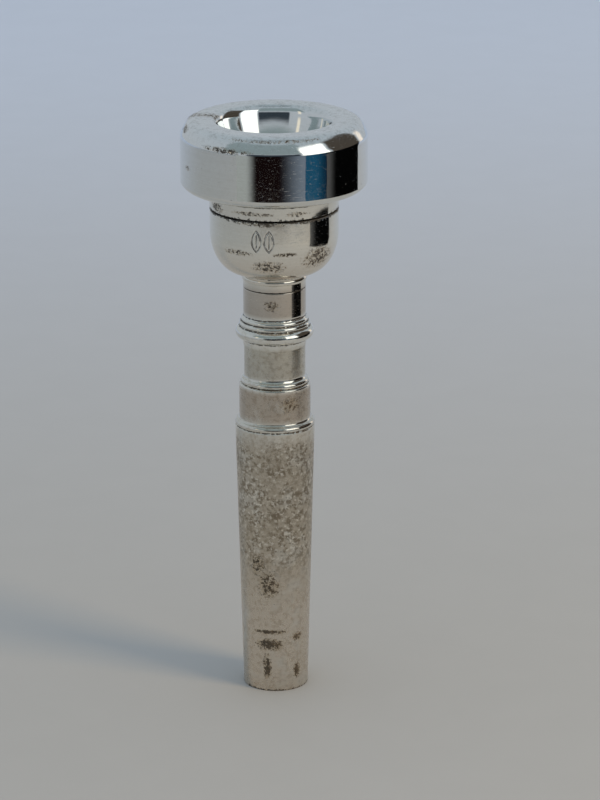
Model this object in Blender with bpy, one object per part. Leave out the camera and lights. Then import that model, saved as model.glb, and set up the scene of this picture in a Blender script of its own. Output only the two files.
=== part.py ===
"""Trumpet mouthpiece that unscrews into a rim, a cup and a backbore.

The axis is +Z and the shank's end stands on z = 0. The rim screws on the cup, and the cup screws
on the backbore, each with a right-hand thread and a rubber ring in the joint.
Outlines are half sections, (radius, height) in millimetres, that are turned about the axis.
They run up the outside and down the inside, so metal lies to their left.
"""
import math

import bmesh
import bpy

# Driving dimensions, in millimetres
LENGTH = 87.0
RIM_DIAMETER = 27.2
CREST_DIAMETER = 21.6
BITE_DIAMETER = 16.4
CUP_DIAMETER = 18.8
NECK_DIAMETER = 9.2
BEAD_DIAMETER = 11.5
STEM_DIAMETER = 9.0
SECTION_DIAMETER = 10.5
SHANK_END_DIAMETER = 9.6
SHANK_TAPER = 0.052
THROAT_DIAMETER = 3.66
BACKBORE_EXIT_DIAMETER = 8.2

# Heights of the turned steps, from the shank's end up
SHANK_TOP_Z = 40.7
SECTION_TOP_Z = 47.25
STEM_BASE_Z = 48.7
STEM_TOP_Z = 53.1
BEAD_BASE_Z = 54.2
BEAD_TOP_Z = 55.95
MIDDLE_RING_TOP_Z = 56.75
UPPER_RING_TOP_Z = 57.45
NECK_BASE_Z = 58.0
CUP_SEAM_Z = 61.95
COLLAR_TOP_Z = 63.75
BOWL_BASE_Z = 64.35
BOWL_SIDE_Z = 70.6
RIM_SEAM_Z = 73.9
SKIRT_TOP_Z = 75.95
RIM_SIDE_BASE_Z = 77.9
RIM_SIDE_TOP_Z = 84.45

# The bowl's hollow narrows all the way from its mouth down to its floor
HOLLOW_RADIUS = 8.15
HOLLOW_TOP_Z = 86.1
HOLLOW_DEPTH = 12.9
HOLLOW_LEAN = 1.2
HOLLOW_ROUND = 0.55
HOLLOW_SPLIT_Z = 79.95
HOLLOW_FLOOR_Z = 74.2
THROAT_TOP_Z = 72.9

# Screw joints: mating faces stand a seam apart, and mating threads a clearance
SEAM_GAP = 0.3
THREAD_PITCH = 0.8
THREAD_DEPTH = 0.35
THREAD_CLEARANCE = 0.1
CUP_THREAD_DIAMETER = 6.2
CUP_THREAD_Z = (63.0, 67.4)
CUP_SOCKET_TOP_Z = 67.9
RIM_THREAD_DIAMETER = 16.5
RIM_THREAD_Z = (74.95, 79.35)
CUP_O_RING_THICKNESS = 0.7
RIM_O_RING_THICKNESS = 0.6
O_RING_CLEARANCE = 0.12

# Small turned details
EDGE_BREAK = 0.12
BEAD_HEIGHT = 0.82
RING_STEP = 0.1

# Turning: corner points round the axis
SEGMENTS = 32
O_RING_SEGMENTS = 24
O_RING_SIDES = 8
BOWL_STEPS = 8
WELD_DISTANCE = 1e-7
SHARP_ANGLE = math.radians(32)
MILLIMETRE = 0.001


class Outline:
    """A closed half section, built point by point from the last one."""

    def __init__(self, radius, height):
        self.items = [(radius, height)]

    def to(self, radius, height):
        self.items.append((radius, height))

    def arc(self, radius, height, turn, steps=4):
        """A round stretch to a point, on which the path turns by so many degrees, left positive."""
        start_r, start_z = self.items[-1]
        half_turn = math.radians(turn) / 2
        # The centre lies left of the chord's middle for a left turn
        offset = 0.5 / math.tan(half_turn)
        centre_r = (start_r + radius) / 2 - (height - start_z) * offset
        centre_z = (start_z + height) / 2 + (radius - start_r) * offset
        arm_r, arm_z = start_r - centre_r, start_z - centre_z
        for step in range(1, steps):
            angle = 2 * half_turn * step / steps
            cosine, sine = math.cos(angle), math.sin(angle)
            self.to(centre_r + arm_r * cosine - arm_z * sine,
                    centre_z + arm_r * sine + arm_z * cosine)
        self.to(radius, height)

    def curve(self, radius_at, start_z, end_z, steps):
        """Points whose radius is a function of their height."""
        for step in range(steps + 1):
            height = start_z + (end_z - start_z) * step / steps
            self.to(radius_at(height), height)

    def thread(self, thread):
        self.items.append(thread)

    def column(self, turn):
        """The outline's points where the part has turned by this share of a full turn."""
        points = []
        for item in self.items:
            points += item.column(turn) if isinstance(item, Thread) else [item]
        return points


class Thread:
    """A right-hand V thread between two heights, which fades into a plain radius at both ends.

    The first crest starts at phase_z, so two threads that share it mesh with an even clearance.
    """

    def __init__(self, plain_radius, outer_radius, phase_z, low_z, high_z, downward=False):
        self.plain_radius = plain_radius
        self.radii = (outer_radius, outer_radius - THREAD_DEPTH)
        self.phase_z = phase_z
        self.low_z = low_z
        self.high_z = high_z
        self.downward = downward

    def column(self, turn):
        half_pitch = THREAD_PITCH / 2
        half_pitches = math.ceil((self.high_z - self.low_z) / half_pitch)
        points = []
        # The helix runs past both ends by more than a turn, and what lies past an end is held on it
        for index in range(-4, half_pitches + 4):
            height = self.phase_z + THREAD_PITCH * turn + half_pitch * index
            height = min(max(height, self.low_z), self.high_z)
            to_end = min(height - self.low_z, self.high_z - height)
            fade = min(to_end / half_pitch, 1.0)
            radius = self.radii[index % 2]
            points.append((self.plain_radius + (radius - self.plain_radius) * fade, height))
        return points[::-1] if self.downward else points


def turned(name, outline, segments=SEGMENTS):
    """The closed body of an outline turned about the axis."""
    mesh = bmesh.new()
    columns = []
    for segment in range(segments + 1):
        turn = segment / segments
        cosine = math.cos(2 * math.pi * turn) * MILLIMETRE
        sine = math.sin(2 * math.pi * turn) * MILLIMETRE
        columns.append([mesh.verts.new((radius * cosine, radius * sine, height * MILLIMETRE))
                        for radius, height in outline.column(turn)])
    for left, right in zip(columns, columns[1:]):
        for low in range(len(left)):
            high = (low + 1) % len(left)
            mesh.faces.new((left[low], right[low], right[high], left[high]))
    # The first and last columns coincide, and so do a thread's points past its ends
    bmesh.ops.remove_doubles(mesh, verts=mesh.verts, dist=WELD_DISTANCE)
    bmesh.ops.recalc_face_normals(mesh, faces=mesh.faces)
    data = bpy.data.meshes.new(name)
    mesh.to_mesh(data)
    mesh.free()
    data.shade_smooth()
    data.set_sharp_from_angle(angle=SHARP_ANGLE)
    body = bpy.data.objects.new(name, data)
    bpy.context.scene.collection.objects.link(body)
    return body


def material(name, colour, roughness, metallic):
    finish = bpy.data.materials.new(name)
    finish.use_nodes = True
    shader = finish.node_tree.nodes["Principled BSDF"]
    shader.inputs["Base Color"].default_value = (*colour, 1.0)
    shader.inputs["Roughness"].default_value = roughness
    shader.inputs["Metallic"].default_value = metallic
    return finish


def hollow_radius(height):
    """The hollow's radius at a height: a superellipse whose wall leans out all the way up."""
    below_top = (HOLLOW_TOP_Z - height) / HOLLOW_DEPTH
    return HOLLOW_RADIUS * (1 - below_top ** HOLLOW_LEAN) ** HOLLOW_ROUND


def build_backbore():
    """Shank, ringed stem and neck, with the stud that carries the cup."""
    end = SHANK_END_DIAMETER / 2
    shank_top = end + SHANK_TAPER / 2 * SHANK_TOP_Z
    section = SECTION_DIAMETER / 2
    stem = STEM_DIAMETER / 2
    bead_root = BEAD_DIAMETER / 2 - BEAD_HEIGHT
    neck = NECK_DIAMETER / 2
    bore_exit = BACKBORE_EXIT_DIAMETER / 2
    bore_top = THROAT_DIAMETER / 2 + 0.07
    shoulder_z = CUP_SEAM_Z - SEAM_GAP / 2
    stud = CUP_THREAD_DIAMETER / 2
    stud_root = stud - THREAD_DEPTH
    stud_top_z = CUP_SOCKET_TOP_Z - SEAM_GAP

    shape = Outline(bore_exit, 0.0)
    shape.to(end - EDGE_BREAK, 0.0)
    shape.arc(end, EDGE_BREAK, turn=85, steps=2)
    # The taper ends in a fine groove under a narrow bead
    shape.to(shank_top, SHANK_TOP_Z)
    shape.to(shank_top - RING_STEP, SHANK_TOP_Z + RING_STEP)
    shape.to(shank_top - RING_STEP, SHANK_TOP_Z + 2 * RING_STEP)
    shape.arc(shank_top - 2 * RING_STEP, SHANK_TOP_Z + 1.0, turn=95)
    shape.arc(section, SHANK_TOP_Z + 1.35, turn=-70, steps=2)
    # Plain section, then a fine groove and a small ring that fades into the stem
    shape.to(section, SECTION_TOP_Z - 2 * RING_STEP)
    shape.arc(section - 2 * RING_STEP, SECTION_TOP_Z, turn=80, steps=2)
    shape.to(section - 3.5 * RING_STEP, SECTION_TOP_Z + RING_STEP)
    shape.arc(stem + 1.5 * RING_STEP, STEM_BASE_Z - 0.55, turn=120)
    shape.arc(stem, STEM_BASE_Z, turn=-45, steps=2)
    shape.to(stem, STEM_TOP_Z)
    # A cove, the main bead, two small rings, then the neck
    shape.to(stem + RING_STEP, STEM_TOP_Z)
    shape.arc(bead_root, BEAD_BASE_Z, turn=-25, steps=2)
    shape.arc(bead_root + 0.34, BEAD_TOP_Z, turn=144, steps=6)
    shape.to(neck + 5 * RING_STEP, BEAD_TOP_Z + 1.5 * RING_STEP)
    shape.arc(neck + 4 * RING_STEP, MIDDLE_RING_TOP_Z, turn=110, steps=3)
    shape.to(neck + 2.5 * RING_STEP, MIDDLE_RING_TOP_Z + RING_STEP)
    shape.arc(neck + RING_STEP, UPPER_RING_TOP_Z, turn=110, steps=3)
    shape.arc(neck, NECK_BASE_Z, turn=-45, steps=2)
    shape.to(neck, shoulder_z - EDGE_BREAK)
    shape.arc(neck - EDGE_BREAK, shoulder_z, turn=85, steps=2)
    # Threaded stud with a narrowed tip
    shape.to(stud_root, shoulder_z)
    shape.thread(Thread(stud_root, stud, CUP_THREAD_Z[0], *CUP_THREAD_Z))
    shape.to(stud_root - EDGE_BREAK, stud_top_z)
    # The bore widens from just over the throat's size down to its exit
    shape.to(bore_top, stud_top_z)
    shape.arc(bore_exit, 0.0, turn=2.5, steps=5)
    shape.items.pop()
    return turned("backbore", shape)


def build_cup():
    """Bowl on a small collar, with the socket for the stud and the spigot for the rim."""
    outer = CUP_DIAMETER / 2
    collar = NECK_DIAMETER / 2
    groove = 5.35
    base_z = CUP_SEAM_Z + SEAM_GAP / 2
    shoulder_z = RIM_SEAM_Z - SEAM_GAP / 2
    throat = THROAT_DIAMETER / 2
    socket = CUP_THREAD_DIAMETER / 2 + THREAD_CLEARANCE
    seat = socket + CUP_O_RING_THICKNESS + O_RING_CLEARANCE
    seat_top_z = base_z + CUP_O_RING_THICKNESS
    spigot = RIM_THREAD_DIAMETER / 2
    spigot_root = spigot - THREAD_DEPTH
    spigot_top_z = HOLLOW_SPLIT_Z - SEAM_GAP / 2
    low_z, high_z = CUP_THREAD_Z

    shape = Outline(seat, base_z)
    shape.to(collar, base_z)
    shape.to(collar, COLLAR_TOP_Z - 0.75)
    shape.arc(collar + RING_STEP, COLLAR_TOP_Z, turn=95, steps=3)
    shape.arc(groove, BOWL_BASE_Z, turn=-60, steps=2)
    # The bowl's outside is a quarter of an ellipse, from the groove over the collar to the side
    for step in range(1, BOWL_STEPS + 1):
        angle = math.pi / 2 * step / BOWL_STEPS
        shape.to(groove + (outer - groove) * math.sin(angle),
                 BOWL_SIDE_Z - (BOWL_SIDE_Z - BOWL_BASE_Z) * math.cos(angle))
    shape.to(outer, shoulder_z - EDGE_BREAK)
    shape.arc(outer - EDGE_BREAK, shoulder_z, turn=85, steps=2)
    # Threaded spigot with a narrowed tip
    shape.to(spigot_root, shoulder_z)
    shape.thread(Thread(spigot_root, spigot, RIM_THREAD_Z[0], *RIM_THREAD_Z))
    shape.to(spigot_root - EDGE_BREAK, spigot_top_z)
    # The hollow, its rounded way into the throat, and the throat
    shape.curve(hollow_radius, spigot_top_z, HOLLOW_FLOOR_Z, steps=7)
    shape.arc(throat, THROAT_TOP_Z, turn=45, steps=3)
    shape.to(throat, CUP_SOCKET_TOP_Z)
    # Threaded socket and the counterbore where its rubber ring sits
    shape.to(socket, CUP_SOCKET_TOP_Z)
    shape.thread(Thread(socket, socket, low_z, low_z - 0.1, high_z + 0.1, downward=True))
    shape.to(socket, seat_top_z)
    shape.to(seat, seat_top_z)
    return turned("cup", shape)


def build_rim():
    """The ring that the lips rest on: crowned face, cylindrical side, sloped underside and skirt."""
    outer = RIM_DIAMETER / 2
    crest = CREST_DIAMETER / 2
    bite = BITE_DIAMETER / 2
    skirt = CUP_DIAMETER / 2
    base_z = RIM_SEAM_Z + SEAM_GAP / 2
    inner_z = HOLLOW_SPLIT_Z + SEAM_GAP / 2
    socket = RIM_THREAD_DIAMETER / 2 + THREAD_CLEARANCE
    seat = socket + RIM_O_RING_THICKNESS + O_RING_CLEARANCE
    seat_top_z = base_z + RIM_O_RING_THICKNESS + O_RING_CLEARANCE
    low_z, high_z = RIM_THREAD_Z

    shape = Outline(seat, base_z)
    shape.to(skirt - EDGE_BREAK / 2, base_z)
    shape.to(skirt, base_z + EDGE_BREAK / 2)
    # The skirt flares a little up to a fine line, and the underside slopes out to the side
    shape.arc(skirt + 0.25, SKIRT_TOP_Z, turn=-8, steps=2)
    shape.to(skirt + 0.25 - RING_STEP, SKIRT_TOP_Z + RING_STEP)
    shape.arc(outer - 1.6, RIM_SIDE_BASE_Z - 1.2, turn=-8, steps=2)
    shape.arc(outer, RIM_SIDE_BASE_Z, turn=60, steps=5)
    # The side rounds over into the crowned face, which falls to the bite and into the hollow
    shape.to(outer, RIM_SIDE_TOP_Z)
    shape.arc(outer - 0.15, RIM_SIDE_TOP_Z + 0.65, turn=26, steps=3)
    shape.arc(outer - 1.05, RIM_SIDE_TOP_Z + 2.15, turn=12, steps=2)
    shape.arc(crest + 0.75, LENGTH - 0.01, turn=26, steps=2)
    shape.to(crest + 0.1, LENGTH)
    shape.to(bite + 1.0, LENGTH - 0.05)
    shape.arc(bite + 0.55, LENGTH - 0.16, turn=18, steps=2)
    shape.arc(HOLLOW_RADIUS, HOLLOW_TOP_Z, turn=35, steps=3)
    shape.curve(hollow_radius, HOLLOW_TOP_Z, inner_z, steps=4)
    # Internal thread and the counterbore where its rubber ring sits
    shape.to(socket, inner_z)
    shape.thread(Thread(socket, socket, low_z, low_z, high_z + 0.2, downward=True))
    shape.to(socket, seat_top_z)
    shape.to(seat, seat_top_z)
    return turned("rim", shape)


def build_o_ring(name, inner_radius, thickness, shoulder_z):
    """A rubber ring that lies just above a shoulder."""
    centre_radius = inner_radius + thickness / 2
    centre_z = shoulder_z + O_RING_CLEARANCE + thickness / 2
    shape = Outline(inner_radius, centre_z)
    for side in range(1, O_RING_SIDES):
        angle = 2 * math.pi * side / O_RING_SIDES
        shape.to(centre_radius - thickness / 2 * math.cos(angle),
                 centre_z - thickness / 2 * math.sin(angle))
    return turned(name, shape, O_RING_SEGMENTS)


def main():
    for leftover in list(bpy.data.objects):
        bpy.data.objects.remove(leftover, do_unlink=True)
    bright = material("bright_silver_plate", (0.78, 0.77, 0.74), 0.16, 1.0)
    tarnished = material("tarnished_silver_plate", (0.74, 0.72, 0.68), 0.24, 1.0)
    worn = material("worn_silver_plate", (0.60, 0.56, 0.50), 0.38, 1.0)
    rubber = material("black_rubber", (0.02, 0.02, 0.02), 0.6, 0.0)

    cup_ring_radius = CUP_THREAD_DIAMETER / 2 + THREAD_CLEARANCE
    rim_ring_radius = RIM_THREAD_DIAMETER / 2 + THREAD_CLEARANCE
    cup_shoulder_z = CUP_SEAM_Z - SEAM_GAP / 2
    rim_shoulder_z = RIM_SEAM_Z - SEAM_GAP / 2
    pieces = (
        (build_backbore(), worn),
        (build_cup(), tarnished),
        (build_rim(), bright),
        (build_o_ring("cup_o_ring", cup_ring_radius, CUP_O_RING_THICKNESS, cup_shoulder_z), rubber),
        (build_o_ring("rim_o_ring", rim_ring_radius, RIM_O_RING_THICKNESS, rim_shoulder_z), rubber),
    )
    for piece, finish in pieces:
        piece.data.materials.append(finish)


main()
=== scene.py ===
"""The looks of a trumpet mouthpiece: worn, tarnished silver plate on turned brass.

Each metal piece is turned again here as a fine mesh from the same outline as its CAD solid.
Outlines are half sections, (radius, height) in millimetres, that run up the outside and down the
inside. The camera looks along +Y, and "azimuth" is measured from the camera's side to its right.
"""
import math

import bmesh
import bpy
from mathutils import Matrix, Vector


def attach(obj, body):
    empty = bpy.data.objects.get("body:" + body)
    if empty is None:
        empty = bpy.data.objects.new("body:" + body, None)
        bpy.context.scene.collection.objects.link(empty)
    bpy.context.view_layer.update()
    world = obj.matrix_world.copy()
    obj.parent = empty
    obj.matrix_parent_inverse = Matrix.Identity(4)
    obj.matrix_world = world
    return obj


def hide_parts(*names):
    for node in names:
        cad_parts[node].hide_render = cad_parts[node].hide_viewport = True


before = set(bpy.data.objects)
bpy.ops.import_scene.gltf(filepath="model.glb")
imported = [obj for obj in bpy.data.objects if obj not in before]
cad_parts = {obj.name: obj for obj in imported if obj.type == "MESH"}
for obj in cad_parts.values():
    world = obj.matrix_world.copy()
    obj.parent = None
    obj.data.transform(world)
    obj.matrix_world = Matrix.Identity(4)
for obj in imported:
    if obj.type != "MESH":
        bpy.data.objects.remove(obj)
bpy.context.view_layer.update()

MILLIMETRE = 0.001

# The CAD's dimensions, in millimetres
LENGTH = 87.0
RIM_DIAMETER = 27.2
CREST_DIAMETER = 21.6
BITE_DIAMETER = 16.4
CUP_DIAMETER = 18.8
NECK_DIAMETER = 9.2
BEAD_DIAMETER = 11.5
STEM_DIAMETER = 9.0
SECTION_DIAMETER = 10.5
SHANK_END_DIAMETER = 9.6
SHANK_TAPER = 0.052
THROAT_DIAMETER = 3.66
BACKBORE_EXIT_DIAMETER = 8.2
SHANK_TOP_Z = 40.7
SECTION_TOP_Z = 47.25
STEM_BASE_Z = 48.7
STEM_TOP_Z = 53.1
BEAD_BASE_Z = 54.2
BEAD_TOP_Z = 55.95
MIDDLE_RING_TOP_Z = 56.75
UPPER_RING_TOP_Z = 57.45
NECK_BASE_Z = 58.0
CUP_SEAM_Z = 61.95
COLLAR_TOP_Z = 63.75
BOWL_BASE_Z = 64.35
BOWL_SIDE_Z = 70.6
RIM_SEAM_Z = 73.9
SKIRT_TOP_Z = 75.95
RIM_SIDE_BASE_Z = 77.9
RIM_SIDE_TOP_Z = 84.45
HOLLOW_RADIUS = 8.15
HOLLOW_TOP_Z = 86.1
HOLLOW_DEPTH = 12.9
HOLLOW_LEAN = 1.2
HOLLOW_ROUND = 0.55
HOLLOW_SPLIT_Z = 79.95
HOLLOW_FLOOR_Z = 74.2
THROAT_TOP_Z = 72.9
SEAM_GAP = 0.3
CUP_SEAM_SHOWN = 0.12
RIM_SEAM_SHOWN = 0.22
THREAD_PITCH = 0.8
THREAD_DEPTH = 0.35
THREAD_CLEARANCE = 0.1
CUP_THREAD_DIAMETER = 6.2
CUP_THREAD_Z = (63.0, 67.4)
CUP_SOCKET_TOP_Z = 67.9
RIM_THREAD_DIAMETER = 16.5
RIM_THREAD_Z = (74.95, 79.35)
CUP_O_RING_THICKNESS = 0.7
RIM_O_RING_THICKNESS = 0.6
O_RING_CLEARANCE = 0.12
EDGE_BREAK = 0.12
BEAD_HEIGHT = 0.82
RING_STEP = 0.1

# Fine turning
SEGMENTS = 288
ARC_STEP = math.radians(7)
SHARP_ANGLE = math.radians(38)
SUPPORT = 0.05
WELD_DISTANCE = 1e-8

# A small ornament cut into the cup's side: two upright leaves, each with its rib
ORNAMENT_AZIMUTH = -10
ORNAMENT_Z = 71
ORNAMENT_SPREAD = 0.92
LEAF_HALF_WIDTH = 0.66
LEAF_HALF_HEIGHT = 1.55
STROKE_HALF_WIDTH = 0.15
STROKE_DEPTH = 0.075
RIB_HALF_HEIGHT = 0.9
ORNAMENT_ROW = 0.05
ORNAMENT_COLUMN = 0.3


class Outline:
    """A closed half section, built point by point from the last one."""

    def __init__(self, radius, height):
        self.items = [(radius, height)]

    def to(self, radius, height):
        """A straight stretch, held flat by a point close to each of its ends."""
        last = self.items[-1]
        start_r, start_z = (radius, height) if isinstance(last, Thread) else last
        length = math.hypot(radius - start_r, height - start_z)
        if length > 4 * SUPPORT:
            for share in (SUPPORT / length, 1 - SUPPORT / length):
                self.items.append((start_r + (radius - start_r) * share,
                                   start_z + (height - start_z) * share))
        self.items.append((radius, height))

    def arc(self, radius, height, turn):
        """A round stretch to a point, on which the path turns by so many degrees, left positive."""
        start_r, start_z = self.items[-1]
        half_turn = math.radians(turn) / 2
        steps = max(2, math.ceil(abs(2 * half_turn) / ARC_STEP))
        offset = 0.5 / math.tan(half_turn)
        centre_r = (start_r + radius) / 2 - (height - start_z) * offset
        centre_z = (start_z + height) / 2 + (radius - start_r) * offset
        arm_r, arm_z = start_r - centre_r, start_z - centre_z
        for step in range(1, steps):
            angle = 2 * half_turn * step / steps
            cosine, sine = math.cos(angle), math.sin(angle)
            self.items.append((centre_r + arm_r * cosine - arm_z * sine,
                               centre_z + arm_r * sine + arm_z * cosine))
        self.items.append((radius, height))

    def curve(self, radius_at, start_z, end_z, steps):
        """Points whose radius is a function of their height."""
        for step in range(steps + 1):
            height = start_z + (end_z - start_z) * step / steps
            self.items.append((radius_at(height), height))

    def thread(self, thread):
        self.items.append(thread)

    def column(self, turn):
        """The outline's points where the part has turned by this share of a full turn."""
        points = []
        for item in self.items:
            points += item.column(turn) if isinstance(item, Thread) else [item]
        return points


class Thread:
    """A right-hand thread with flat crests and roots, fading into a plain radius at both ends."""

    # Share of a pitch, and whether the point lies on the crest
    FORM = ((-0.08, True), (0.08, True), (0.42, False), (0.58, False))

    def __init__(self, plain_radius, outer_radius, phase_z, low_z, high_z, downward=False):
        self.plain_radius = plain_radius
        self.outer_radius = outer_radius
        self.phase_z = phase_z
        self.low_z = low_z
        self.high_z = high_z
        self.downward = downward

    def column(self, turn):
        turns = math.ceil((self.high_z - self.low_z) / THREAD_PITCH)
        points = []
        for index in range(-3, turns + 2):
            for share, on_crest in self.FORM:
                height = self.phase_z + THREAD_PITCH * (turn + index + share)
                height = min(max(height, self.low_z), self.high_z)
                to_end = min(height - self.low_z, self.high_z - height)
                fade = min(2 * to_end / THREAD_PITCH, 1.0)
                radius = self.outer_radius - (0 if on_crest else THREAD_DEPTH)
                points.append((self.plain_radius + (radius - self.plain_radius) * fade, height))
        return points[::-1] if self.downward else points


def ornament_cut(azimuth, height):
    """How deep the ornament's strokes are, from 0 to 1, at a place on the cup's side."""
    across = math.radians(azimuth - ORNAMENT_AZIMUTH) * CUP_DIAMETER / 2
    up = height - ORNAMENT_Z
    # A leaf lies inside two circles, to its left and right
    arm_sum = LEAF_HALF_HEIGHT ** 2 / LEAF_HALF_WIDTH
    circle = (arm_sum + LEAF_HALF_WIDTH) / 2
    centre = (arm_sum - LEAF_HALF_WIDTH) / 2
    nearest = STROKE_HALF_WIDTH
    for leaf in (-ORNAMENT_SPREAD, ORNAMENT_SPREAD):
        furthest = math.hypot(abs(across - leaf) + centre, up)
        past_rib = max(abs(up) - RIB_HALF_HEIGHT, 0)
        nearest = min(nearest, abs(furthest - circle), math.hypot(across - leaf, past_rib))
    return (1 - (nearest / STROKE_HALF_WIDTH) ** 2) ** 2


def ornament_turns():
    """Even turns, with closer ones across the ornament."""
    half_width = math.degrees((ORNAMENT_SPREAD + LEAF_HALF_WIDTH) / (CUP_DIAMETER / 2)) + 2
    low, high = ORNAMENT_AZIMUTH - half_width, ORNAMENT_AZIMUTH + half_width
    even = [360 * segment / SEGMENTS - 180 for segment in range(SEGMENTS + 1)]
    close = [low + ORNAMENT_COLUMN * step for step in range(int((high - low) / ORNAMENT_COLUMN) + 1)]
    azimuths = [azimuth for azimuth in even if not low <= azimuth <= high] + close
    return [(azimuth + 180) / 360 for azimuth in sorted(azimuths)]


def turned(name, outline, segments=SEGMENTS, turns=None, cut=None):
    """The closed body of an outline turned about the axis, with a pattern cut into its outside."""
    mesh = bmesh.new()
    engraved = mesh.verts.layers.float.new("engraved")
    columns = []
    turns = turns or [segment / segments for segment in range(segments + 1)]
    for turn in turns:
        # Turns start at the back, so the seam of the mesh is out of sight
        angle = 2 * math.pi * turn + math.pi / 2
        column = []
        for radius, height in outline.column(turn):
            depth = cut(360 * turn - 180, height) if cut and radius > CUP_DIAMETER / 2 - 0.3 else 0.0
            reach = (radius - depth * STROKE_DEPTH) * MILLIMETRE
            corner = mesh.verts.new((reach * math.cos(angle), reach * math.sin(angle),
                                     height * MILLIMETRE))
            corner[engraved] = depth
            column.append(corner)
        columns.append(column)
    for left, right in zip(columns, columns[1:]):
        for low in range(len(left)):
            high = (low + 1) % len(left)
            mesh.faces.new((left[low], right[low], right[high], left[high]))
    bmesh.ops.remove_doubles(mesh, verts=mesh.verts, dist=WELD_DISTANCE)
    bmesh.ops.recalc_face_normals(mesh, faces=mesh.faces)
    data = bpy.data.meshes.new(name)
    mesh.to_mesh(data)
    mesh.free()
    data.shade_smooth()
    data.set_sharp_from_angle(angle=SHARP_ANGLE)
    body = bpy.data.objects.new(name, data)
    bpy.context.scene.collection.objects.link(body)
    return body


def hollow_radius(height):
    """The hollow's radius at a height: a superellipse whose wall leans out all the way up."""
    below_top = (HOLLOW_TOP_Z - height) / HOLLOW_DEPTH
    return HOLLOW_RADIUS * (1 - below_top ** HOLLOW_LEAN) ** HOLLOW_ROUND


def backbore_outline():
    end = SHANK_END_DIAMETER / 2
    shank_top = end + SHANK_TAPER / 2 * SHANK_TOP_Z
    section = SECTION_DIAMETER / 2
    stem = STEM_DIAMETER / 2
    bead_root = BEAD_DIAMETER / 2 - BEAD_HEIGHT
    neck = NECK_DIAMETER / 2
    bore_exit = BACKBORE_EXIT_DIAMETER / 2
    bore_top = THROAT_DIAMETER / 2 + 0.07
    shoulder_z = CUP_SEAM_Z - CUP_SEAM_SHOWN / 2
    stud = CUP_THREAD_DIAMETER / 2
    stud_root = stud - THREAD_DEPTH
    stud_top_z = CUP_SOCKET_TOP_Z - SEAM_GAP

    shape = Outline(bore_exit, 0.0)
    shape.to(end - EDGE_BREAK, 0.0)
    shape.arc(end, EDGE_BREAK, turn=85)
    shape.to(shank_top, SHANK_TOP_Z)
    shape.to(shank_top - RING_STEP, SHANK_TOP_Z + RING_STEP)
    shape.to(shank_top - RING_STEP, SHANK_TOP_Z + 2 * RING_STEP)
    shape.arc(shank_top - 2 * RING_STEP, SHANK_TOP_Z + 1.0, turn=95)
    shape.arc(section, SHANK_TOP_Z + 1.35, turn=-70)
    shape.to(section, SECTION_TOP_Z - 2 * RING_STEP)
    shape.arc(section - 2 * RING_STEP, SECTION_TOP_Z, turn=80)
    shape.to(section - 3.5 * RING_STEP, SECTION_TOP_Z + RING_STEP)
    shape.arc(stem + 1.5 * RING_STEP, STEM_BASE_Z - 0.55, turn=120)
    shape.arc(stem, STEM_BASE_Z, turn=-45)
    shape.to(stem, STEM_TOP_Z)
    shape.to(stem + RING_STEP, STEM_TOP_Z)
    shape.arc(bead_root, BEAD_BASE_Z, turn=-25)
    shape.arc(bead_root + 0.34, BEAD_TOP_Z, turn=144)
    shape.to(neck + 5 * RING_STEP, BEAD_TOP_Z + 1.5 * RING_STEP)
    shape.arc(neck + 4 * RING_STEP, MIDDLE_RING_TOP_Z, turn=110)
    shape.to(neck + 2.5 * RING_STEP, MIDDLE_RING_TOP_Z + RING_STEP)
    shape.arc(neck + RING_STEP, UPPER_RING_TOP_Z, turn=110)
    shape.arc(neck, NECK_BASE_Z, turn=-45)
    shape.to(neck, shoulder_z - EDGE_BREAK)
    shape.arc(neck - EDGE_BREAK, shoulder_z, turn=85)
    shape.to(stud_root, shoulder_z)
    shape.thread(Thread(stud_root, stud, CUP_THREAD_Z[0], *CUP_THREAD_Z))
    shape.to(stud_root - EDGE_BREAK, stud_top_z)
    shape.to(bore_top, stud_top_z)
    shape.arc(bore_exit, 0.0, turn=2.5)
    shape.items.pop()
    return shape


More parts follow.
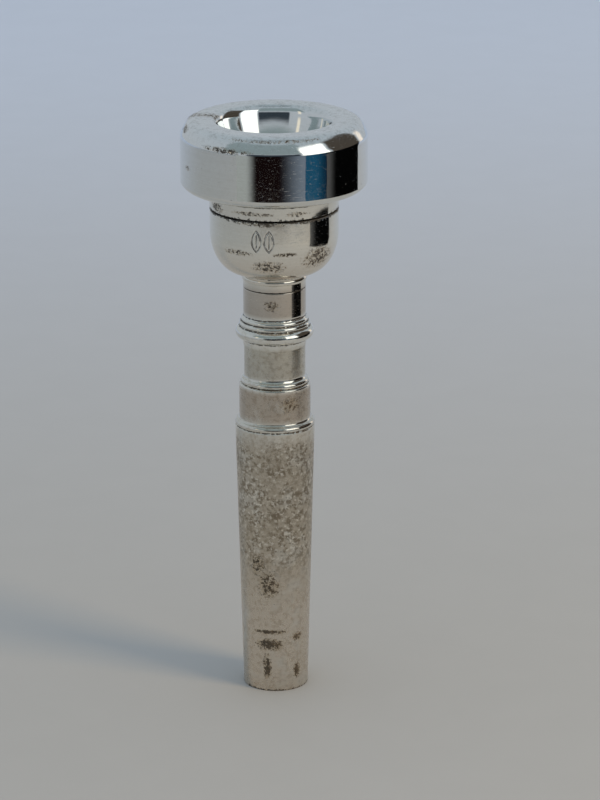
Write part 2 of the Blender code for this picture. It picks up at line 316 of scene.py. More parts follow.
def cup_outline():
    outer = CUP_DIAMETER / 2
    collar = NECK_DIAMETER / 2
    groove = 5.35
    base_z = CUP_SEAM_Z + CUP_SEAM_SHOWN / 2
    shoulder_z = RIM_SEAM_Z - RIM_SEAM_SHOWN / 2
    throat = THROAT_DIAMETER / 2
    socket = CUP_THREAD_DIAMETER / 2 + THREAD_CLEARANCE
    seat = socket + CUP_O_RING_THICKNESS + O_RING_CLEARANCE
    seat_top_z = CUP_SEAM_Z + SEAM_GAP / 2 + CUP_O_RING_THICKNESS
    spigot = RIM_THREAD_DIAMETER / 2
    spigot_root = spigot - THREAD_DEPTH
    spigot_top_z = HOLLOW_SPLIT_Z - SEAM_GAP / 2
    low_z, high_z = CUP_THREAD_Z
    bowl_steps = 96

    shape = Outline(seat, base_z)
    shape.to(collar, base_z)
    shape.to(collar, COLLAR_TOP_Z - 0.75)
    shape.arc(collar + RING_STEP, COLLAR_TOP_Z, turn=95)
    shape.arc(groove, BOWL_BASE_Z, turn=-60)
    for step in range(1, bowl_steps + 1):
        angle = math.pi / 2 * step / bowl_steps
        shape.items.append((groove + (outer - groove) * math.sin(angle),
                            BOWL_SIDE_Z - (BOWL_SIDE_Z - BOWL_BASE_Z) * math.cos(angle)))
    rows = round((shoulder_z - EDGE_BREAK - BOWL_SIDE_Z) / ORNAMENT_ROW)
    for row in range(1, rows):
        shape.items.append((outer, BOWL_SIDE_Z + row * ORNAMENT_ROW))
    shape.to(outer, shoulder_z - EDGE_BREAK)
    shape.arc(outer - EDGE_BREAK, shoulder_z, turn=85)
    shape.to(spigot_root, shoulder_z)
    shape.thread(Thread(spigot_root, spigot, RIM_THREAD_Z[0], *RIM_THREAD_Z))
    shape.to(spigot_root - EDGE_BREAK, spigot_top_z)
    shape.curve(hollow_radius, spigot_top_z, HOLLOW_FLOOR_Z, steps=28)
    shape.arc(throat, THROAT_TOP_Z, turn=45)
    shape.to(throat, CUP_SOCKET_TOP_Z)
    shape.to(socket, CUP_SOCKET_TOP_Z)
    shape.thread(Thread(socket, socket, low_z, low_z - 0.1, high_z + 0.1, downward=True))
    shape.to(socket, seat_top_z)
    shape.to(seat, seat_top_z)
    return shape


def rim_outline():
    outer = RIM_DIAMETER / 2
    crest = CREST_DIAMETER / 2
    bite = BITE_DIAMETER / 2
    skirt = CUP_DIAMETER / 2
    base_z = RIM_SEAM_Z + RIM_SEAM_SHOWN / 2
    inner_z = HOLLOW_SPLIT_Z + SEAM_GAP / 2
    socket = RIM_THREAD_DIAMETER / 2 + THREAD_CLEARANCE
    seat = socket + RIM_O_RING_THICKNESS + O_RING_CLEARANCE
    seat_top_z = RIM_SEAM_Z + SEAM_GAP / 2 + RIM_O_RING_THICKNESS + O_RING_CLEARANCE
    low_z, high_z = RIM_THREAD_Z

    shape = Outline(seat, base_z)
    shape.to(skirt - EDGE_BREAK / 2, base_z)
    shape.to(skirt, base_z + EDGE_BREAK / 2)
    shape.arc(skirt + 0.25, SKIRT_TOP_Z, turn=-8)
    shape.to(skirt + 0.25 - RING_STEP, SKIRT_TOP_Z + RING_STEP)
    shape.arc(outer - 1.6, RIM_SIDE_BASE_Z - 1.2, turn=-8)
    shape.arc(outer, RIM_SIDE_BASE_Z, turn=60)
    shape.to(outer, RIM_SIDE_TOP_Z)
    shape.arc(outer - 0.15, RIM_SIDE_TOP_Z + 0.65, turn=26)
    shape.arc(outer - 1.05, RIM_SIDE_TOP_Z + 2.15, turn=12)
    shape.arc(crest + 0.75, LENGTH - 0.01, turn=26)
    shape.arc(crest + 0.1, LENGTH, turn=5)
    shape.arc(bite + 1.0, LENGTH - 0.05, turn=3)
    shape.arc(bite + 0.55, LENGTH - 0.16, turn=18)
    shape.arc(HOLLOW_RADIUS, HOLLOW_TOP_Z, turn=35)
    shape.curve(hollow_radius, HOLLOW_TOP_Z, inner_z, steps=14)
    shape.to(socket, inner_z)
    shape.thread(Thread(socket, socket, low_z, low_z, high_z + 0.2, downward=True))
    shape.to(socket, seat_top_z)
    shape.to(seat, seat_top_z)
    return shape


def o_ring_outline(inner_radius, thickness, shoulder_z, sides=20):
    centre_radius = inner_radius + thickness / 2
    centre_z = shoulder_z + O_RING_CLEARANCE + thickness / 2
    shape = Outline(inner_radius, centre_z)
    for side in range(1, sides):
        angle = 2 * math.pi * side / sides
        shape.items.append((centre_radius - thickness / 2 * math.cos(angle),
                            centre_z - thickness / 2 * math.sin(angle)))
    return shape


def tone(code):
    """A linear colour from its usual six-figure sRGB code."""
    parts = [int(code[start:start + 2], 16) / 255 for start in (0, 2, 4)]
    return [part / 12.92 if part <= 0.04045 else ((part + 0.055) / 1.055) ** 2.4 for part in parts]


class Graph:
    """Short calls for building a node tree."""

    def __init__(self, tree):
        self.tree = tree

    def node(self, kind, *values, **settings):
        """A node with these settings, and these values or sockets on its first inputs."""
        made = self.tree.nodes.new(kind)
        for name, value in settings.items():
            setattr(made, name, value)
        for socket, value in zip(made.inputs, values):
            self.feed(socket, value)
        return made

    def feed(self, socket, value):
        if isinstance(value, bpy.types.NodeSocket):
            self.tree.links.new(value, socket)
        elif value is not None:
            socket.default_value = value

    def math(self, operation, *values, clamp=False):
        return self.node("ShaderNodeMath", *values, operation=operation, use_clamp=clamp).outputs[0]

    def vector(self, operation, *values):
        made = self.node("ShaderNodeVectorMath", *values, operation=operation)
        return made.outputs["Value" if operation in ("LENGTH", "DISTANCE", "DOT_PRODUCT") else "Vector"]

    def between(self, value, low, high, start=0.0, end=1.0, smooth=True):
        """The value carried from low..high over to start..end, and held outside of it."""
        made = self.node("ShaderNodeMapRange", interpolation_type="SMOOTHSTEP" if smooth else "LINEAR")
        for socket, number in zip(made.inputs, (value, low, high, start, end)):
            self.feed(socket, number)
        return made.outputs[0]

    def mix(self, share, first, second, blend="MIX"):
        made = self.node("ShaderNodeMix", data_type="RGBA", blend_type=blend)
        sockets = (made.inputs[0], made.inputs[6], made.inputs[7])
        for socket, value in zip(sockets, (share, first, second)):
            if isinstance(value, (list, tuple)) and len(value) == 3:
                value = (*value, 1.0)
            self.feed(socket, value)
        return made.outputs[2]

    def ramp(self, value, stops, ease="LINEAR"):
        """A colour for a value from 0 to 1, from (place, colour) stops."""
        made = self.node("ShaderNodeValToRGB", value)
        made.color_ramp.interpolation = ease
        while len(made.color_ramp.elements) < len(stops):
            made.color_ramp.elements.new(0.5)
        for element, (place, colour) in zip(made.color_ramp.elements, stops):
            element.position = place
            element.color = (*colour, 1.0) if not isinstance(colour, float) else (colour,) * 3 + (1.0,)
        return made.outputs[0]

    def noise(self, place, scale, detail=2.0, roughness=0.5, **settings):
        made = self.node("ShaderNodeTexNoise", **settings)
        for name, value in (("Vector", place), ("Scale", scale), ("Detail", detail),
                            ("Roughness", roughness)):
            self.feed(made.inputs[name], value)
        return made.outputs["Fac"]


def new_material(name):
    """A material's graph and its shader."""
    finish = bpy.data.materials.new(name)
    finish.use_nodes = True
    return finish, Graph(finish.node_tree), finish.node_tree.nodes["Principled BSDF"]


# The plate at heights in millimetres: reflectance, and roughness
PLATE = (
    (0, (0.72, 0.64, 0.54), 0.24), (12, (0.72, 0.64, 0.54), 0.24), (24, (0.60, 0.53, 0.43), 0.28),
    (38, (0.60, 0.54, 0.45), 0.27), (40.5, (0.80, 0.77, 0.70), 0.07), (42, (0.80, 0.77, 0.70), 0.07),
    (42.6, (0.60, 0.53, 0.45), 0.20), (46.6, (0.60, 0.53, 0.45), 0.20), (47.0, (0.84, 0.82, 0.76), 0.06),
    (48.4, (0.84, 0.82, 0.76), 0.06), (49, (0.63, 0.60, 0.53), 0.17), (53, (0.65, 0.62, 0.54), 0.17),
    (53.5, (0.88, 0.87, 0.82), 0.05), (57.8, (0.88, 0.87, 0.82), 0.05), (58.4, (0.60, 0.55, 0.49), 0.09),
    (62, (0.64, 0.59, 0.53), 0.10), (62.8, (0.84, 0.81, 0.74), 0.06), (65, (0.80, 0.73, 0.63), 0.12),
    (67, (0.86, 0.81, 0.73), 0.11), (70, (0.90, 0.89, 0.83), 0.08), (76, (0.86, 0.85, 0.80), 0.07),
    (78, (0.86, 0.87, 0.85), 0.035), (84, (0.86, 0.88, 0.88), 0.04), (86.4, (0.90, 0.93, 0.95), 0.07),
    (87, (0.92, 0.95, 0.97), 0.12),
)

# Seams and grooves that hold dirt, and painted shade along the foot's bottom edge: height, reach, and the
# radii between which it shows
DIRT_AND_FOOT_SHADE_LINES = (
    (CUP_SEAM_Z, 0.10, 4.3, 4.75), (RIM_SEAM_Z - 0.06, 0.40, 9.1, 9.8), (SKIRT_TOP_Z + 0.08, 0.10, 9.3, 9.9),
    (MIDDLE_RING_TOP_Z + 0.06, 0.10, 4.6, 5.1), (BEAD_TOP_Z + 0.08, 0.13, 4.9, 5.3),
    (UPPER_RING_TOP_Z + 0.2, 0.12, 4.55, 4.8), (BEAD_BASE_Z - 0.1, 0.12, 4.8, 5.2),
    (SECTION_TOP_Z + 0.1, 0.10, 4.8, 5.3), (SHANK_TOP_Z + 0.2, 0.14, 5.4, 5.9),
    # The line at height 0 is painted shade along the foot's bottom edge, where it meets the floor
    (0.0, 0.3, 4.55, 4.95), (BOWL_BASE_Z - 0.25, 0.12, 4.6, 5.4),
)

# Heights, in millimetres, over which each kind of wear comes in
FACE_WEAR = (84.9, 86.8)
LOWER_WEAR = (62.0, 50.0)
FRECKLES_FROM = (16.0, 24.0)
FRECKLES_TO = (41.0, 38.0)
HOLLOW_EDGE = (8.5, 8.2)
HOLLOW_BASE = (74.0, 75.0)

# Colours of the wear, and how deep its relief is, in metres
FRECKLE_TINT = (0.24, 0.19, 0.13)
SPOT_TINT = (0.90, 0.85, 0.76)
BROWN_TINT = (0.66, 0.60, 0.53)
PALE_TINT = (0.82, 0.81, 0.76)
TURNED_TINT = (0.72, 0.70, 0.66)
RUBBED_TINT = (0.55, 0.56, 0.55)
HALO_TINT = (0.50, 0.38, 0.22)
TURNING_RELIEF = 0.9e-6
WAVE_RELIEF = 1.2e-5
MOTTLE_RELIEF = (0.5e-6, 3e-6)
PIT_RELIEF = -6e-6

# Worn places: azimuth in degrees, height, half width, half height, strength
CUP_BLEMISHES = (
    (45, 68, 3.5, 2.0, 1.0), (-5, 67, 3.0, 1.2, 1.0), (10, 69, 2.0, 0.4, 1.2), (-35, 69, 3.0, 0.6, 0.9),
    (-10, 73.5, 5.0, 0.4, 1.0), (120, 68, 2.5, 1.5, 0.9), (-140, 69, 3.0, 1.0, 0.9),
)
RIM_BLEMISHES = (
    (-60, 75, 2.0, 1.0, 1.1), (-20, 75, 4.0, 0.4, 1.0), (20, 75, 2.0, 0.5, 0.9), (-65, 81, 1.0, 0.5, 1.0),
    (-80, 86, 2.0, 0.6, 1.1), (0, 86.5, 9.0, 0.3, 0.7),
    (-30, 85, 5.0, 0.5, 1.0), (-100, 86.5, 2.0, 1.0, 0.9), (100, 80, 1.5, 1.0, 0.8), (170, 80, 2.0, 1.0, 0.9),
)
SHANK_BLEMISHES = (
    (-5, 60, 1.5, 1.0, 0.9), (25, 45, 2.0, 1.5, 0.9), (-30, 20, 1.5, 2.0, 1.0), (-12, 17, 2.0, 2.5, 1.1),
    (-10, 9.5, 3.0, 0.4, 1.4), (-10, 7.5, 2.5, 1.2, 1.4), (-15, 4, 0.8, 2.5, 1.4), (40, 8.5, 1.0, 1.0, 1.3),
    (40, 3, 0.8, 1.5, 1.4), (130, 14, 2.0, 2.5, 1.1), (-120, 9, 2.0, 2.0, 1.1), (180, 22, 1.5, 2.0, 1.1),
)


def plate_material(name, blemishes):
    """Tarnished silver plate with turning lines, haze, brown specks, dirt in its corners, and painted shade
    along the foot's bottom edge.
    """
    finish, graph, shader = new_material(name)
    local = graph.node("ShaderNodeTexCoord").outputs["Object"]
    place = graph.node("ShaderNodeVectorMath", local, operation="SCALE")
    place.inputs["Scale"].default_value = 1 / MILLIMETRE
    place = place.outputs["Vector"]
    x, y, height = graph.node("ShaderNodeSeparateXYZ", place).outputs
    radius = graph.math("SQRT", graph.math("ADD", graph.math("MULTIPLY", x, x),
                                           graph.math("MULTIPLY", y, y)))
    azimuth = graph.math("ARCTAN2", x, graph.math("MULTIPLY", y, -1.0))
    share = graph.math("DIVIDE", height, LENGTH, clamp=True)

    def lathe_noise(fineness, around, detail):
        """Noise drawn out along the direction of turning, with no seam."""
        made = graph.node("ShaderNodeTexNoise", noise_dimensions="4D")
        drawn = graph.node("ShaderNodeCombineXYZ", graph.math("MULTIPLY", radius, fineness),
                           graph.math("MULTIPLY", height, fineness),
                           graph.math("MULTIPLY", graph.math("SINE", azimuth), around)).outputs[0]
        values = (("Vector", drawn), ("W", graph.math("MULTIPLY", graph.math("COSINE", azimuth), around)),
                  ("Scale", 1.0), ("Detail", detail), ("Roughness", 0.7))
        for socket, value in values:
            graph.feed(made.inputs[socket], value)
        return made.outputs["Fac"]

    tint = graph.ramp(share, [(z / LENGTH, colour) for z, colour, _ in PLATE])
    rough = graph.ramp(share, [(z / LENGTH, value) for z, _, value in PLATE])
    hollow = graph.math("MULTIPLY", graph.between(radius, *HOLLOW_EDGE), graph.between(height, *HOLLOW_BASE))
    outside = graph.math("SUBTRACT", 1.0, hollow)

    cloud = graph.noise(place, 0.32, detail=4.0, roughness=0.6)
    mottle = graph.noise(place, 1.5, detail=5.0, roughness=0.65)
    grain = graph.noise(place, 6.5, detail=3.0, roughness=0.6)
    turning = lathe_noise(5.0, 1.0, 3.0)
    scratch = lathe_noise(8.0, 14.0, 2.0)

    worn = graph.math("MULTIPLY", graph.between(height, *FACE_WEAR), outside)
    lower = graph.between(height, *LOWER_WEAR)
    shank = graph.math("MULTIPLY", graph.between(height, *FRECKLES_FROM),
                       graph.between(height, *FRECKLES_TO))
    shank = graph.math("MULTIPLY", shank, graph.between(cloud, 0.36, 0.52, 0.35, 1.0))

    # Blotches darker and browner than the plate around them, most on the shank
    brown = graph.math("MULTIPLY", graph.between(mottle, 0.46, 0.66),
                       graph.between(lower, 0.0, 1.0, 0.10, 0.55))
    tint = graph.mix(brown, tint, graph.mix(1.0, tint, BROWN_TINT, "MULTIPLY"))
    pale = graph.math("MULTIPLY", graph.between(cloud, 0.50, 0.68),
                      graph.between(lower, 0.0, 1.0, 0.08, 0.32))
    tint = graph.mix(pale, tint, PALE_TINT)
    tint = graph.mix(graph.math("MULTIPLY", graph.between(turning, 0.35, 0.65), 0.14), tint,
                     graph.mix(1.0, tint, TURNED_TINT, "MULTIPLY"))
    coarse = graph.noise(place, 1.2, detail=4.0, roughness=0.75)
    freckle = graph.math("MULTIPLY", graph.between(coarse, 0.47, 0.57),
                         graph.math("MULTIPLY", shank, 0.8))
    tint = graph.mix(freckle, tint, FRECKLE_TINT)
    fine = graph.noise(place, 2.0, detail=3.0, roughness=0.6)
    spots = graph.math("MULTIPLY", graph.between(fine, 0.55, 0.62), graph.math("MULTIPLY", shank, 0.7))
    tint = graph.mix(spots, tint, SPOT_TINT)

    rubbed = graph.math("MULTIPLY", worn, graph.between(mottle, 0.50, 0.62, 0.0, 0.4))
    tint = graph.mix(rubbed, tint, RUBBED_TINT)

    # Blemish patches draw the specks together
    spot = graph.node("ShaderNodeCombineXYZ", x, y, height).outputs[0]
    patches = None
    for turn, patch_z, half_width, half_height, strength in blemishes:
        towards = direction(turn, 0)
        beside = Vector((-towards.y, towards.x, 0))
        across = graph.math("DIVIDE", graph.vector("DOT_PRODUCT", spot, tuple(beside)), half_width)
        along = graph.math("DIVIDE", graph.math("SUBTRACT", height, patch_z), half_height)
        facing = graph.math("GREATER_THAN", graph.vector("DOT_PRODUCT", spot, tuple(towards)), 0.0)
        away = graph.math("SQRT", graph.math("ADD", graph.math("MULTIPLY", across, across),
                                             graph.math("MULTIPLY", along, along)))
        patch = graph.math("MULTIPLY", graph.between(away, 1.2, 0.3, 0.0, strength), facing)
        patches = patch if patches is None else graph.math("MAXIMUM", patches, patch)
    patches = graph.math("MULTIPLY", patches, outside)

    speck_noise = graph.noise(place, 2.2, detail=4.0, roughness=0.72)
    pull = graph.math("MULTIPLY_ADD", patches, 0.20, speck_noise)
    speck = graph.math("MULTIPLY", graph.between(pull, 0.69, 0.73), outside)
    ridge = graph.noise(place, 0.9, detail=4.0, roughness=0.65)
    vein = graph.math("ABSOLUTE", graph.math("SUBTRACT", ridge, 0.5))
    vein = graph.math("MULTIPLY", graph.between(vein, 0.016, 0.005), graph.between(patches, 0.1, 0.5))
    speck = graph.math("MAXIMUM", speck, vein)

    # Dirt packed into the seams and grooves, and painted shade along the foot's bottom edge
    dirt_and_foot_shade = None
    for seam_z, reach, low_radius, high_radius in DIRT_AND_FOOT_SHADE_LINES:
        away = graph.math("ABSOLUTE", graph.math("SUBTRACT", height, seam_z))
        edge = graph.math("MULTIPLY_ADD", speck_noise, reach * 5.0, -1.9 * reach)
        line = graph.math("LESS_THAN", away, edge)
        inside = graph.math("MULTIPLY", graph.math("GREATER_THAN", radius, low_radius),
                            graph.math("LESS_THAN", radius, high_radius))
        line = graph.math("MULTIPLY", line, inside)
        dirt_and_foot_shade = line if dirt_and_foot_shade is None else graph.math("MAXIMUM", dirt_and_foot_shade, line)

    cut = graph.node("ShaderNodeAttribute", attribute_name="engraved").outputs["Fac"]
    cut = graph.math("MULTIPLY", graph.between(cut, 0.05, 0.6), graph.between(mottle, 0.38, 0.52, 0.25, 0.85))
    dark = graph.math("MAXIMUM", graph.math("MAXIMUM", speck, dirt_and_foot_shade), cut)

    # The dark brown of rust and dirt, also used for the painted shade at the foot's bottom edge
    rust_and_shade_tone = graph.mix(graph.between(grain, 0.42, 0.60), tone("0f0d09"), tone("33291a"))
    rust_and_shade_tone = graph.mix(graph.math("MULTIPLY", lower, 0.75), rust_and_shade_tone,
                     graph.mix(graph.between(grain, 0.40, 0.62), tone("2b2416"), tone("5e4e36")))
    # Around each cluster of specks the plate has gone yellow
    halo = graph.math("MULTIPLY", graph.between(pull, 0.56, 0.69), graph.between(patches, 0.05, 0.6))
    colour = graph.mix(graph.math("MULTIPLY", halo, 0.42), tint, HALO_TINT)
    colour = graph.mix(graph.math("MULTIPLY", dark, 0.94), colour, rust_and_shade_tone)
    graph.feed(shader.inputs["Base Color"], colour)

    haze = graph.math("MULTIPLY", graph.between(cloud, 0.42, 0.62),
                      graph.between(lower, 0.0, 1.0, 0.015, 0.07))
    rough = graph.math("ADD", graph.math("MULTIPLY", rough, outside), haze)
    rough = graph.math("MULTIPLY_ADD", hollow, 0.05, rough)
    rough = graph.math("ADD", rough, graph.math("MULTIPLY", graph.between(mottle, 0.45, 0.62),
                                                graph.between(lower, 0.0, 1.0, 0.012, 0.06)))
    rough = graph.math("ADD", rough, graph.math("MULTIPLY", worn,
                                                graph.between(mottle, 0.44, 0.58, 0.02, 0.12)))
    scuffs = graph.math("MULTIPLY", graph.between(scratch, 0.60, 0.72), graph.math("MULTIPLY", outside, 0.22))
    rough = graph.math("ADD", rough, scuffs)
    rough = graph.math("MULTIPLY_ADD", dark, 0.4, rough, clamp=True)
    graph.feed(shader.inputs["Roughness"], rough)
    graph.feed(shader.inputs["Metallic"], graph.between(dark, 0.0, 1.0, 1.0, 0.2))

    # Relief, in metres: turning lines, a slightly uneven surface, and pits
    relief = graph.math("MULTIPLY", turning, TURNING_RELIEF)
    wave = graph.noise(place, 0.35, detail=2.0)
    relief = graph.math("MULTIPLY_ADD", wave, WAVE_RELIEF, relief)
    relief = graph.math("MULTIPLY_ADD", mottle, graph.between(lower, 0.0, 1.0, *MOTTLE_RELIEF), relief)
    relief = graph.math("MULTIPLY_ADD", dark, PIT_RELIEF, relief)
    bump = graph.node("ShaderNodeBump")
    for socket, value in (("Strength", 1.0), ("Distance", 1.0), ("Height", relief)):
        graph.feed(bump.inputs[socket], value)
    graph.feed(shader.inputs["Normal"], bump.outputs["Normal"])
    return finish


def rubber_material():
    """Black rubber gone a little grey, with fine grain and dust."""
    finish, graph, shader = new_material("rubber")
    local = graph.node("ShaderNodeTexCoord").outputs["Object"]
    grain = graph.noise(local, 9000.0, detail=3.0)
    dust = graph.noise(local, 2200.0, detail=4.0, roughness=0.7)
    colour = graph.mix(graph.between(dust, 0.5, 0.72), tone("141416"), tone("3a3834"))
    graph.feed(shader.inputs["Base Color"], colour)
    graph.feed(shader.inputs["Roughness"], graph.between(dust, 0.3, 0.7, 0.42, 0.7))
    bump = graph.node("ShaderNodeBump")
    for socket, value in (("Strength", 1.0), ("Distance", 1.0),
                          ("Height", graph.math("MULTIPLY", grain, 4e-6))):
        graph.feed(bump.inputs[socket], value)
    graph.feed(shader.inputs["Normal"], bump.outputs["Normal"])
    return finish


# Camera: distances from the object's axis and from the table, in metres
CAMERA_BACK = 0.5339
CAMERA_HEIGHT = 0.2157
CAMERA_RIGHT = 0.0037
CAMERA_PITCH = math.radians(17.8)
CAMERA_ROLL = math.radians(-0.1)
FOCAL_SHARE = 4.75
SENSOR = 36.0


def build_camera():
    camera = bpy.data.cameras.new("camera")
    camera.sensor_width = SENSOR
    camera.lens = SENSOR * FOCAL_SHARE
    camera.clip_start = 0.01
    holder = bpy.data.objects.new("camera", camera)
    bpy.context.scene.collection.objects.link(holder)
    tilt = Matrix.Rotation(math.pi / 2 - CAMERA_PITCH, 4, "X")
    place = Matrix.Translation((CAMERA_RIGHT, -CAMERA_BACK, CAMERA_HEIGHT))
    holder.matrix_world = place @ tilt @ Matrix.Rotation(CAMERA_ROLL, 4, "Z")
    bpy.context.scene.camera = holder


def stage_plane(name, corners, finish):
    """A flat piece of the stage, between corners."""
    mesh = bpy.data.meshes.new(name)
    mesh.from_pydata(corners, [], [tuple(range(len(corners)))])
    plane = bpy.data.objects.new(name, mesh)
    bpy.context.scene.collection.objects.link(plane)
    mesh.materials.append(finish)
    return plane


def direction(azimuth, elevation):
    """A unit vector: azimuth from the camera's side to its right, elevation up, in degrees."""
    a, e = math.radians(azimuth), math.radians(elevation)
    return Vector((math.sin(a) * math.cos(e), -math.cos(a) * math.cos(e), math.sin(e)))


def area_light(name, azimuth, elevation, distance, size, colour, watts):
    light = bpy.data.lights.new(name, "AREA")
    light.shape = "RECTANGLE"
    light.size, light.size_y = size
    light.color = colour
    light.energy = watts
    holder = bpy.data.objects.new(name, light)
    bpy.context.scene.collection.objects.link(holder)
    aim = Vector((0, 0, 0.06))
    towards = direction(azimuth, elevation)
    holder.location = aim + towards * distance
    holder.rotation_euler = towards.to_track_quat("Z", "Y").to_euler()
    return holder


# A pale floor, with light painted in: lighter and cooler with distance
FLOOR_REACH = 3.0
FLOOR_NEAR_TONE = (0.43, 0.43, 0.40)
FLOOR_FAR_PAINTED_LIGHT_TONE = (0.60, 0.65, 0.71)
FLOOR_PAINTED_LIGHT_FADE = (0.0, 0.5)

# Glowing cards that stand on the floor round the object and show only in mirror reflections, where they paint
# the room's reflections onto the metal: azimuths, and the colours at their two sides
CARD_DISTANCE = 0.29
CARD_HEIGHT = 0.085
CARDS = {
    "edge_card": ((-45, -20), (0.32, 0.34, 0.33), (0.006, 0.003, 0.003)),
    "front_card": ((-20, 38), (0.006, 0.003, 0.003), (0.15, 0.18, 0.22)),
    "blue_card": ((38, 66), (0.012, 0.07, 0.13), (0.004, 0.022, 0.045)),
    "black_card": ((66, 123), (0.001, 0.001, 0.001), (0.001, 0.001, 0.001)),
}
CARD_FADE = 0.07
CARD_PANELS = 8

# A dark box's face to the right of the object, a glowing sheet that shows only in mirror reflections and
# paints a dark reflection on the metal: distance, the two ends of its face, and height
BOX_X = 0.165
BOX_Y = (-0.075, 0.07)
BOX_HEIGHT = 0.06
BOX_FADE = 0.045
BOX_NEAR_TONE = (0.08, 0.08, 0.08)
BOX_FAR_TONE = (0.001, 0.001, 0.001)

# The room: a soft surround, from the horizon up to the ceiling
SURROUND = ((0, (0.42, 0.45, 0.48)), (30, (0.40, 0.44, 0.47)), (90, (0.30, 0.36, 0.39)))

# Soft lights and dark stretches in it: azimuths, elevations, colour; 3 degrees to 6 of soft edge
ROOM = (
    ((-70, 40), (18, 62), (0.22, 0.27, 0.28)),
    ((-34, 34), (0, 20), (0.03, 0.04, 0.05)),
    ((34, 74), (0, 45), (1.5, 1.5, 1.4)),
    ((-60, -50), (8, 30), (0.85, 0.78, 0.64)),
    ((75, 128), (0, 48), (0.06, 0.05, 0.04)),
    ((128, 140), (0, 24), (0.95, 0.85, 0.74)),
    ((-190, 190), (72, 82), (0.10, 0.12, 0.13)),
)
ROOM_EDGE = (3, 6)
KEY = {"azimuth": 60, "elevation": 30, "distance": 0.9, "size": (0.28, 0.28),
       "colour": (1.0, 0.72, 0.42), "watts": 4.0}
FILL_COLOUR = (0.60, 0.67, 0.78)


def glowing(name, paint):
    """A material that shines by itself, in a colour that paint() makes from its graph."""
    finish = bpy.data.materials.new(name)
    finish.use_nodes = True
    tree = finish.node_tree
    tree.nodes.remove(tree.nodes["Principled BSDF"])
    graph = Graph(tree)
    glow = graph.node("ShaderNodeEmission")
    graph.feed(glow.inputs["Color"], paint(graph))
    graph.feed(tree.nodes["Material Output"].inputs["Surface"], glow.outputs[0])
    return finish


def floor_material():
    """Pale and matt, with painted light: a little lighter and cooler with distance."""
    finish, graph, shader = new_material("floor")
    place = graph.node("ShaderNodeNewGeometry").outputs["Position"]
    depth = graph.node("ShaderNodeSeparateXYZ", place).outputs["Y"]
    # Painted light: the floor's colour grows lighter and bluer away from the camera, for the window light and
    # the floor's sheen
    colour = graph.mix(graph.between(depth, *FLOOR_PAINTED_LIGHT_FADE), FLOOR_NEAR_TONE, FLOOR_FAR_PAINTED_LIGHT_TONE)
    grain = graph.noise(place, 90.0, detail=5.0, roughness=0.6)
    colour = graph.mix(graph.between(grain, 0.3, 0.7, 0.0, 0.07), colour,
                       graph.mix(1.0, colour, (0.8, 0.8, 0.8), "MULTIPLY"))
    graph.feed(shader.inputs["Base Color"], colour)
    shader.inputs["Roughness"].default_value = 0.6
    shader.inputs["Specular IOR Level"].default_value = 0.1
    return finish


def stand_card(name, left, right, height, finish):
    """An upright card between two places on the floor, which only mirror reflections show."""
    card = stage_plane(name, [(left.x, left.y, 0.0), (right.x, right.y, 0.0),
                              (right.x, right.y, height), (left.x, left.y, height)], finish)
    card.visible_camera = False
    card.visible_diffuse = False
    card.visible_shadow = False


def card_paint(first, last, first_tone, last_tone):
    """Painted reflection: from one colour to another round a curved card."""
    def paint(graph):
        place = graph.node("ShaderNodeNewGeometry").outputs["Position"]
        x, y, _ = graph.node("ShaderNodeSeparateXYZ", place).outputs
        azimuth = graph.math("DEGREES", graph.math("ARCTAN2", x, graph.math("MULTIPLY", y, -1.0)))
        start = (first + last) / 2 - (last - first) * CARD_FADE
        return graph.mix(graph.between(azimuth, start, last), first_tone, last_tone)
    return paint


def box_paint(graph):
    """Painted reflection: grey where the box's face is nearest the camera, black beyond."""
    place = graph.node("ShaderNodeNewGeometry").outputs["Position"]
    depth = graph.node("ShaderNodeSeparateXYZ", place).outputs["Y"]
    near_y = BOX_Y[0]
    return graph.mix(graph.between(depth, near_y, near_y + BOX_FADE), BOX_NEAR_TONE, BOX_FAR_TONE)


def build_stage():
    far = FLOOR_REACH
    stage_plane("floor", [(-far, -far, 0.0), (far, -far, 0.0), (far, far, 0.0), (-far, far, 0.0)],
                floor_material())
    for name, ((first, last), first_tone, last_tone) in CARDS.items():
        finish = glowing(name, card_paint(first, last, first_tone, last_tone))
        corners = [direction(first + (last - first) * step / CARD_PANELS, 0) * CARD_DISTANCE
                   for step in range(CARD_PANELS + 1)]
        for step, (left, right) in enumerate(zip(corners, corners[1:])):
            stand_card("%s_%d" % (name, step), left, right, CARD_HEIGHT, finish)
    near_y, far_y = BOX_Y
    black = glowing("box", box_paint)
    stand_card("box", Vector((BOX_X, near_y, 0)), Vector((BOX_X, far_y, 0)), BOX_HEIGHT, black)


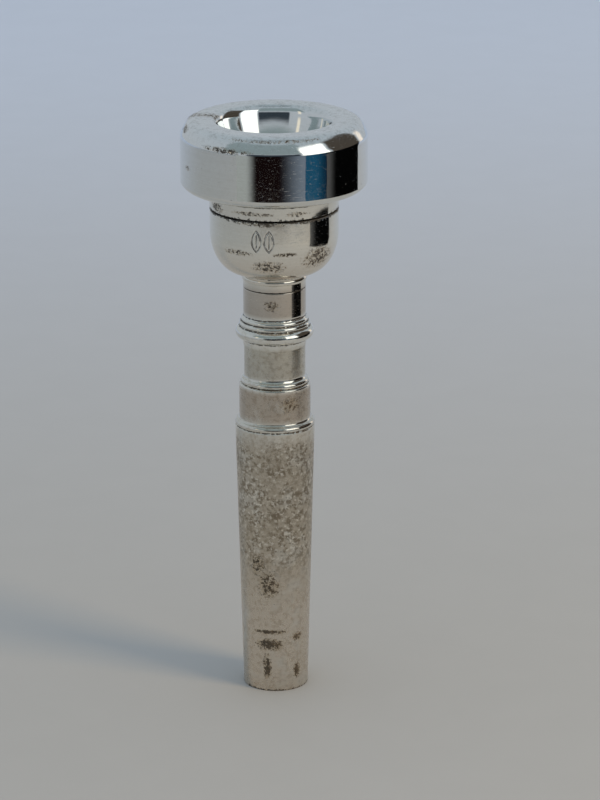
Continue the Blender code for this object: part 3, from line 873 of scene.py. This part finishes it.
def build_light():
    """Soft room light, which polished metal sees with its lights and dark stretches, and one key."""
    world = bpy.data.worlds.new("world")
    bpy.context.scene.world = world
    world.use_nodes = True
    graph = Graph(world.node_tree)
    background = world.node_tree.nodes["Background"]
    towards = graph.node("ShaderNodeTexCoord").outputs["Generated"]
    x, y, z = graph.node("ShaderNodeSeparateXYZ", towards).outputs
    azimuth = graph.math("DEGREES", graph.math("ARCTAN2", x, graph.math("MULTIPLY", y, -1.0)))
    elevation = graph.math("DEGREES", graph.math("ARCSINE", z))
    room = graph.ramp(graph.math("DIVIDE", elevation, 90.0, clamp=True),
                      [(height / 90, colour) for height, colour in SURROUND])
    side, rise = ROOM_EDGE
    for (left, right), (low, high), colour in ROOM:
        share = graph.math("MULTIPLY", graph.between(azimuth, left, left + side),
                           graph.between(azimuth, right, right - side))
        if low > 0:
            share = graph.math("MULTIPLY", share, graph.between(elevation, low, low + rise))
        share = graph.math("MULTIPLY", share, graph.between(elevation, high, high - rise))
        room = graph.mix(share, room, colour)
    mirrored = graph.node("ShaderNodeLightPath").outputs["Is Glossy Ray"]
    graph.feed(background.inputs["Color"], graph.mix(mirrored, FILL_COLOUR, room))
    background.inputs["Strength"].default_value = 1.0
    key = area_light("key", **KEY)
    key.visible_glossy = False


def main():
    pieces = {
        "backbore": (backbore_outline(), "backbore", "shank_plate", SHANK_BLEMISHES),
        "cup": (cup_outline(), "cup", "cup_plate", CUP_BLEMISHES),
        "rim": (rim_outline(), "rim", "rim_plate", RIM_BLEMISHES),
    }
    for node, (outline, body, slot, blemishes) in pieces.items():
        pattern = {"turns": ornament_turns(), "cut": ornament_cut} if node == "cup" else {}
        piece = turned("fine_" + node, outline, **pattern)
        piece.data.materials.append(plate_material(node + "_plate", blemishes))
        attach(piece, body)
        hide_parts(node)
    rubber = rubber_material()
    rings = (("cup_o_ring", "cup_seal", CUP_THREAD_DIAMETER, CUP_O_RING_THICKNESS, CUP_SEAM_Z),
             ("rim_o_ring", "rim_seal", RIM_THREAD_DIAMETER, RIM_O_RING_THICKNESS, RIM_SEAM_Z))
    for node, body, thread_diameter, thickness, seam_z in rings:
        outline = o_ring_outline(thread_diameter / 2 + THREAD_CLEARANCE, thickness, seam_z - SEAM_GAP / 2)
        piece = turned("fine_" + node, outline, 128)
        piece.data.materials.append(rubber)
        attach(piece, body)
        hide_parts(node)
    build_stage()
    build_light()
    build_camera()


main()
bpy.context.scene.view_settings.view_transform = "Standard"
